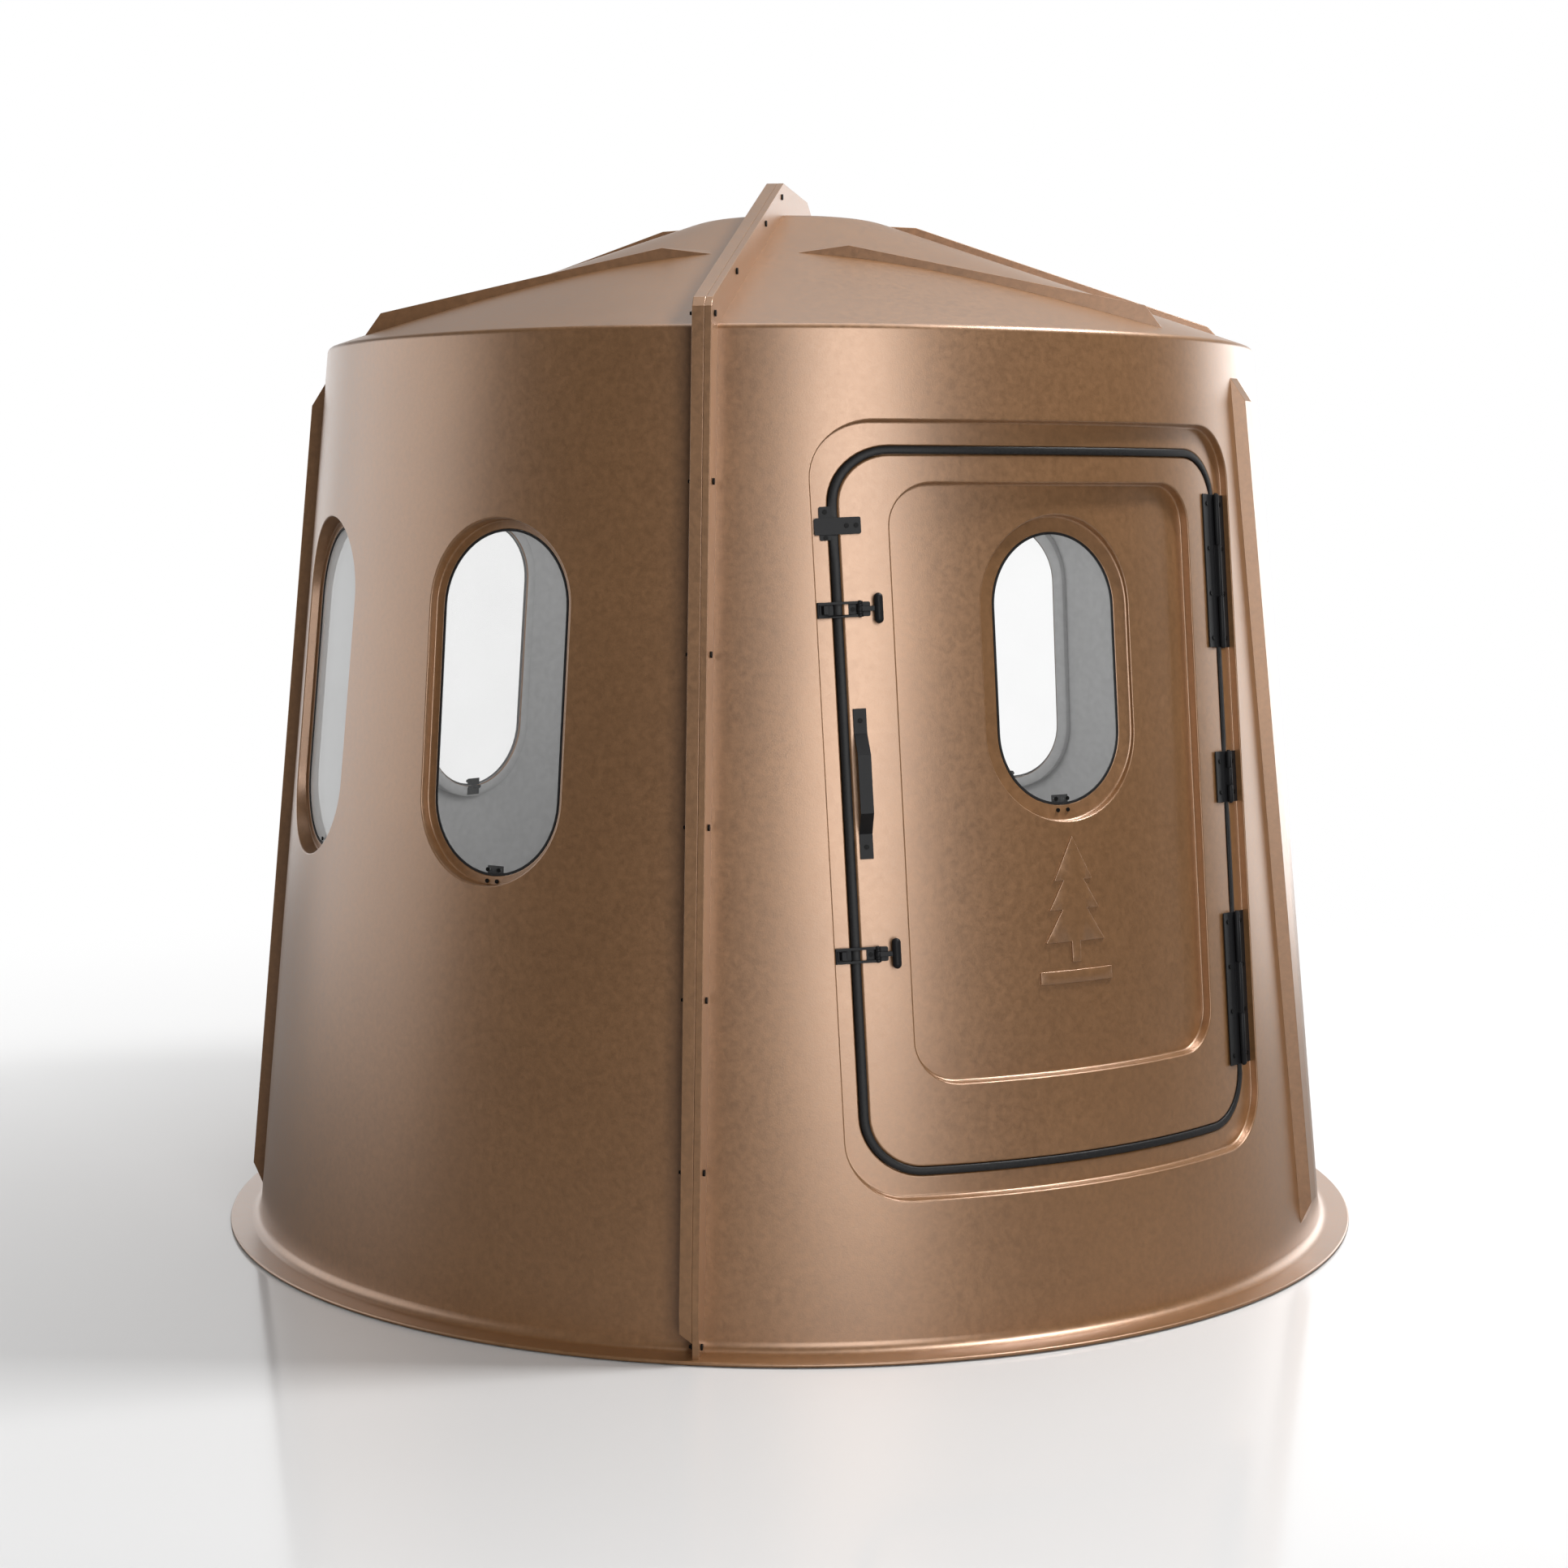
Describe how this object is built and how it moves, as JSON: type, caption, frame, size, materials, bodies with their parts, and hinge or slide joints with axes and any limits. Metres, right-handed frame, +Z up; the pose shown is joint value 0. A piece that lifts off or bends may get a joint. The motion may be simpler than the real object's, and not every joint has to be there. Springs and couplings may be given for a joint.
{
  "type": "rigid ground blind",
  "caption": "Conical moulded ground blind: bolted shell halves, ribbed roof, curved hinged door with draw latches, and pill-shaped tilting windows.",
  "frame": {"origin": "centre of the base on the floor", "axes": "+Z up; the front seam lies on -Y, the right half with the door is on +X and the left half on -X"},
  "size_m": [2.2496, 2.25, 2.014],
  "materials": {
    "shell": "satin moulded shell in copper brown with a faint mottle",
    "seal": "black rubber seal",
    "pane": "clear flat pane",
    "hinge_plate": "grey plate",
    "hardware": "black satin coating",
    "fastener": "black satin coating"
  },
  "bodies": {
    "shell": {"left_shell": "shell", "right_shell": "shell", "seam_bolts": "fastener", "seam_nuts": "fastener", "door_gasket": "seal", "door_hinge_top_frame_leaf": "hardware", "door_hinge_middle_frame_leaf": "hardware", "door_hinge_bottom_frame_leaf": "hardware", "door_hinge_pins": "hardware", "hinge_frame_screws": "fastener", "strike_plate": "hardware", "latch_top_catch": "hardware", "latch_bottom_catch": "hardware", "frame_latch_screws": "fastener", "wall_window_seals": "seal", "wall_window_fixed_leaves": "hinge_plate", "wall_window_pins": "hardware", "wall_window_fixed_screws": "fastener"},
    "door": {"door_panel": "shell", "door_emblem": "shell", "door_hinge_top_door_leaf": "hardware", "door_hinge_middle_door_leaf": "hardware", "door_hinge_bottom_door_leaf": "hardware", "hinge_door_screws": "fastener", "overlap_bar": "hardware", "latch_top_bracket": "hardware", "latch_top_pin": "hardware", "latch_bottom_bracket": "hardware", "latch_bottom_pin": "hardware", "door_latch_screws": "fastener", "pull_handle": "hardware", "door_window_seal": "seal", "door_window_fixed_leaf": "hinge_plate", "door_window_pin": "hardware", "door_window_fixed_screws": "fastener"},
    "latch_top_loop": {"latch_top_loop": "hardware"},
    "latch_top_handle": {"latch_top_handle": "hardware"},
    "latch_bottom_loop": {"latch_bottom_loop": "hardware"},
    "latch_bottom_handle": {"latch_bottom_handle": "hardware"},
    "door_window": {"door_window_pane": "pane", "door_window_pane_leaf": "hinge_plate", "door_window_pane_screws": "fastener"},
    "window_a": {"window_a_pane": "pane", "window_a_pane_leaf": "hinge_plate", "window_a_pane_screws": "fastener"},
    "window_b": {"window_b_pane": "pane", "window_b_pane_leaf": "hinge_plate", "window_b_pane_screws": "fastener"},
    "window_c": {"window_c_pane": "pane", "window_c_pane_leaf": "hinge_plate", "window_c_pane_screws": "fastener"},
    "window_d": {"window_d_pane": "pane", "window_d_pane_leaf": "hinge_plate", "window_d_pane_screws": "fastener"},
    "window_e": {"window_e_pane": "pane", "window_e_pane_leaf": "hinge_plate", "window_e_pane_screws": "fastener"},
    "window_f": {"window_f_pane": "pane", "window_f_pane_leaf": "hinge_plate", "window_f_pane_screws": "fastener"}
  },
  "joints": [
    {"name": "door_swing", "type": "hinge", "parent": "shell", "child": "door", "pos_m": [0.86796, -0.43879, 0.91482], "axis": [-0.0654, 0.0819, 0.9945], "range_deg": [0, 110]},
    {"name": "latch_top_loop_turn", "type": "hinge", "parent": "door", "child": "latch_top_loop", "pos_m": [0.24997, -0.9099, 1.2325], "axis": [-0.0654, 0.0819, 0.9945], "range_deg": [0, 100]},
    {"name": "latch_top_handle_turn", "type": "hinge", "parent": "door", "child": "latch_top_handle", "pos_m": [0.24997, -0.9099, 1.2325], "axis": [0.0654, -0.0819, -0.9945], "range_deg": [0, 110]},
    {"name": "latch_bottom_loop_turn", "type": "hinge", "parent": "door", "child": "latch_bottom_loop", "pos_m": [0.28746, -0.95687, 0.6625], "axis": [-0.0654, 0.0819, 0.9945], "range_deg": [0, 100]},
    {"name": "latch_bottom_handle_turn", "type": "hinge", "parent": "door", "child": "latch_bottom_handle", "pos_m": [0.28746, -0.95687, 0.6625], "axis": [0.0654, -0.0819, -0.9945], "range_deg": [0, 110]},
    {"name": "window_a_tilt", "type": "hinge", "parent": "shell", "child": "window_a", "pos_m": [-0.38255, -0.87147, 0.76731], "axis": [-0.9157, 0.4019, 0], "range_deg": [0, 150]},
    {"name": "window_b_tilt", "type": "hinge", "parent": "shell", "child": "window_b", "pos_m": [-0.79638, -0.52113, 0.76731], "axis": [-0.5476, 0.8368, 0], "range_deg": [0, 150]},
    {"name": "window_c_tilt", "type": "hinge", "parent": "shell", "child": "window_c", "pos_m": [-0.79638, 0.52113, 0.76731], "axis": [0.5476, 0.8368, 0], "range_deg": [0, 150]},
    {"name": "window_d_tilt", "type": "hinge", "parent": "shell", "child": "window_d", "pos_m": [-0.38255, 0.87147, 0.76731], "axis": [0.9157, 0.4019, 0], "range_deg": [0, 150]},
    {"name": "window_e_tilt", "type": "hinge", "parent": "shell", "child": "window_e", "pos_m": [0.79638, 0.52113, 0.76731], "axis": [0.5476, -0.8368, 0], "range_deg": [0, 150]},
    {"name": "window_f_tilt", "type": "hinge", "parent": "shell", "child": "window_f", "pos_m": [0.38255, 0.87147, 0.76731], "axis": [0.9157, -0.4019, 0], "range_deg": [0, 150]},
    {"name": "door_window_tilt", "type": "hinge", "parent": "door", "child": "door_window", "pos_m": [0.57154, -0.71596, 0.88897], "axis": [-0.7815, -0.6239, 0], "range_deg": [0, 150]}
  ]
}
